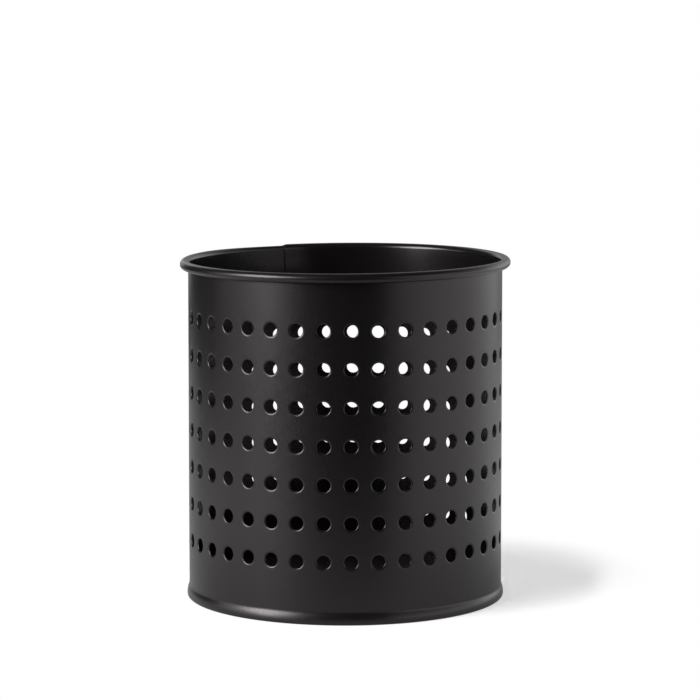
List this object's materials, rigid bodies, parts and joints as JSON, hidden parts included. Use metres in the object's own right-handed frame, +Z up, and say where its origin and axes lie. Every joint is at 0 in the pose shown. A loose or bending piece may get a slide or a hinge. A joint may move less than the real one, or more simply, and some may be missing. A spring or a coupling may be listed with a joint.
{
  "type": "cutlery caddy",
  "caption": "Round open-topped cutlery caddy of satin black perforated sheet steel, with a rolled rim, a lap seam and a pressed base.",
  "frame": {"origin": "centre of the cup's underside, on the surface that it stands on", "axes": "+Z up along the cup's axis, -Y towards the pictured front, with the lap seam at the back left"},
  "size_m": [0.1246, 0.1246, 0.1289],
  "materials": {
    "powder_coat": "satin black powder coat on sheet steel"
  },
  "bodies": {
    "root": {"perforated_wall": "powder_coat", "base_pan": "powder_coat"}
  },
  "joints": []
}
